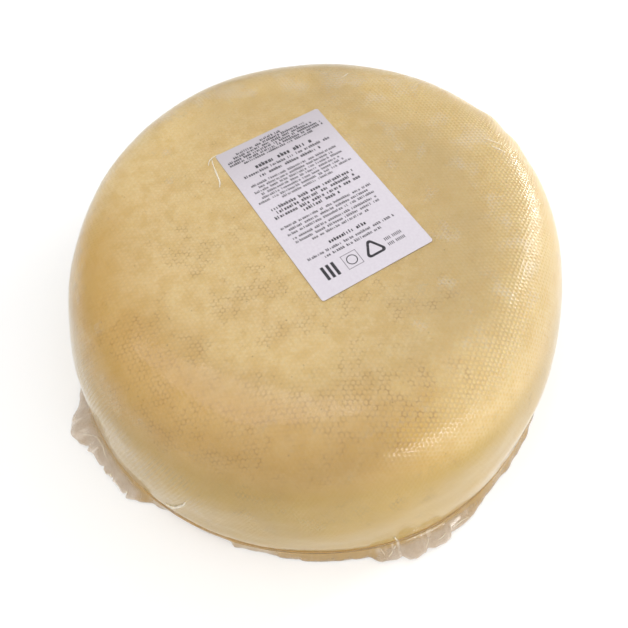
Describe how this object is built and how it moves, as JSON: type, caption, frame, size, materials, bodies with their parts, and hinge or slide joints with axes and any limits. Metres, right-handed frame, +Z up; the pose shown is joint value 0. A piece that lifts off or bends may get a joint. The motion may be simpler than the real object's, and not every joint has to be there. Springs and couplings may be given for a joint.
{
  "type": "wheel of semi-hard cheese in shrink film",
  "caption": "Low round wheel of golden semi-hard cheese, tight in clear shrink film with a loose hem at its foot and a paper label on top.",
  "frame": {"origin": "middle of the flat underside that the wheel stands on", "axes": "+Z up along the wheel's axis, -Y towards the side the picture is taken from, +X to its right"},
  "size_m": [0.2653, 0.264, 0.1094],
  "materials": {
    "cheese": "golden pressed cheese with a fine mould-cloth imprint under tight, slightly milky clear shrink film",
    "film": "clear thin shrink film, gathered and creased, glossy",
    "label": "white self-adhesive paper, smooth, with dark plain print"
  },
  "bodies": {
    "root": {"cheese_wheel": "cheese", "film_hem": "film", "paper_label": "label"}
  },
  "joints": []
}
